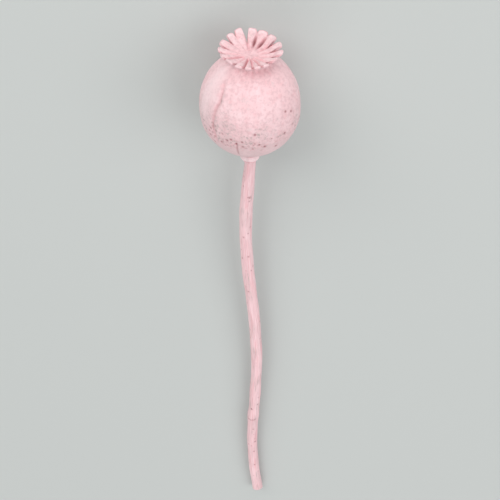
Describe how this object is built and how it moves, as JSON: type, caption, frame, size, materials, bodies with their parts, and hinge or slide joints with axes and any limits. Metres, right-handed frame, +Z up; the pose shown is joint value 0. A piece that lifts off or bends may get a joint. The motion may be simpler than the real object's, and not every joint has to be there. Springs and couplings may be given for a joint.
{
  "type": "poppy seed head",
  "caption": "Dried poppy seed head on its cut stem, painted matt pale pink: a round, faintly ribbed pod with a rayed crown, lying on its side.",
  "frame": {"origin": "the middle of the small flat spot under the pod, where it lies on a surface", "axes": "+Z up from the surface, +Y along the part from the cut stem to the crown, +X to the right of that"},
  "size_m": [0.0407, 0.2957, 0.0408],
  "materials": {
    "stem": "chalky matt paint over a dry stalk",
    "capsule": "chalky matt paint over a dry pod",
    "crown": "chalky matt paint over dry rays"
  },
  "bodies": {
    "root": {"stem": "stem", "capsule": "capsule", "crown": "crown"}
  },
  "joints": []
}
